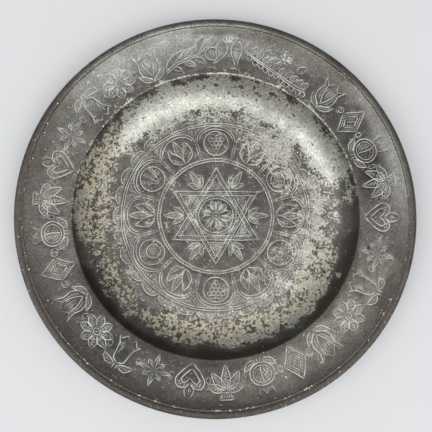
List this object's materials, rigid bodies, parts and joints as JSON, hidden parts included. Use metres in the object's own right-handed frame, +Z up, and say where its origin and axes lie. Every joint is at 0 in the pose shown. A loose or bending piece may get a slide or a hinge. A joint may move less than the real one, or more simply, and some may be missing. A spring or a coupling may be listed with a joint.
{
  "type": "engraved pewter plate",
  "caption": "Round broad-rimmed pewter plate with a deep well, a reeded edge and an engraved border and centre.",
  "frame": {"origin": "middle of the flat base, at its lowest point", "axes": "+Z up out of the well along the plate's axis; +Y to the top of the engraved design, +X to its right"},
  "size_m": [0.35, 0.35, 0.0274],
  "materials": {
    "pewter": "satin"
  },
  "bodies": {
    "root": {"plate": "pewter"}
  },
  "joints": []
}
